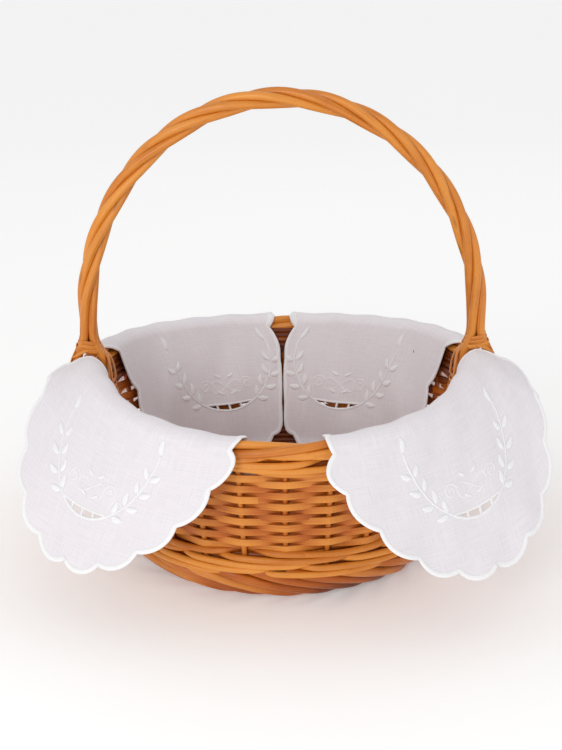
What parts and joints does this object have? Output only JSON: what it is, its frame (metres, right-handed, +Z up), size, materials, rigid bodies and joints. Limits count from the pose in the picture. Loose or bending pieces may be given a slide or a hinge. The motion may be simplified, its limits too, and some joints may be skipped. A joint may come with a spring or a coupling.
{
  "type": "flower basket",
  "caption": "Round woven willow basket with a tall twisted bow handle and scalloped linen doilies draped over its rim.",
  "frame": {"origin": "middle of the ring on the ground that the basket stands on", "axes": "+Z up; the handle's bow stands in the XZ plane; the front faces -Y"},
  "size_m": [0.3214, 0.3244, 0.3044],
  "materials": {
    "handle_willow": "varnished, satin gloss",
    "rod_willow": "varnished, satin gloss",
    "split_willow": "varnished, satin gloss",
    "stake_willow": "varnished, satin",
    "skein": "varnished, satin",
    "linen": "matt plain-woven linen"
  },
  "bodies": {
    "basket": {"base_slath": "stake_willow", "base_sticks": "stake_willow", "base_weave_upper": "stake_willow", "base_weave_lower": "stake_willow", "foot_rod_1": "rod_willow", "foot_rod_2": "rod_willow", "foot_rod_3": "rod_willow", "foot_rod_4": "rod_willow", "side_stakes": "stake_willow", "lower_wale_1": "rod_willow", "lower_wale_2": "rod_willow", "lower_wale_3": "rod_willow", "lower_wale_4": "rod_willow", "randing_row_01": "split_willow", "randing_row_02": "split_willow", "randing_row_03": "split_willow", "randing_row_04": "split_willow", "randing_row_05": "split_willow", "randing_row_06": "split_willow", "randing_row_07": "split_willow", "randing_row_08": "split_willow", "randing_row_09": "split_willow", "randing_row_10": "split_willow", "randing_row_11": "split_willow", "randing_row_12": "split_willow", "randing_row_13": "split_willow", "randing_row_14": "split_willow", "upper_wale_1": "rod_willow", "upper_wale_2": "rod_willow", "upper_wale_3": "rod_willow", "rim_border_1": "rod_willow", "rim_border_2": "rod_willow", "rim_border_3": "rod_willow", "handle_rod_1": "handle_willow", "handle_rod_2": "handle_willow", "handle_rod_3": "handle_willow", "handle_rod_4": "handle_willow", "handle_collar_left": "skein", "handle_collar_right": "skein", "border_wrap_left": "skein", "border_wrap_right": "skein"},
    "doily_front_left": {"doily_front_left": "linen"},
    "doily_front_right": {"doily_front_right": "linen"},
    "doily_back_left": {"doily_back_left": "linen"},
    "doily_back_right": {"doily_back_right": "linen"}
  },
  "joints": [
    {"name": "lift_front_left", "type": "slide", "parent": "basket", "child": "doily_front_left", "axis": [0, 0, 1], "range_m": [0, 0.13]},
    {"name": "lift_front_right", "type": "slide", "parent": "basket", "child": "doily_front_right", "axis": [0, 0, 1], "range_m": [0, 0.13]},
    {"name": "lift_back_left", "type": "slide", "parent": "basket", "child": "doily_back_left", "axis": [0, 0, 1], "range_m": [0, 0.13]},
    {"name": "lift_back_right", "type": "slide", "parent": "basket", "child": "doily_back_right", "axis": [0, 0, 1], "range_m": [0, 0.13]}
  ]
}
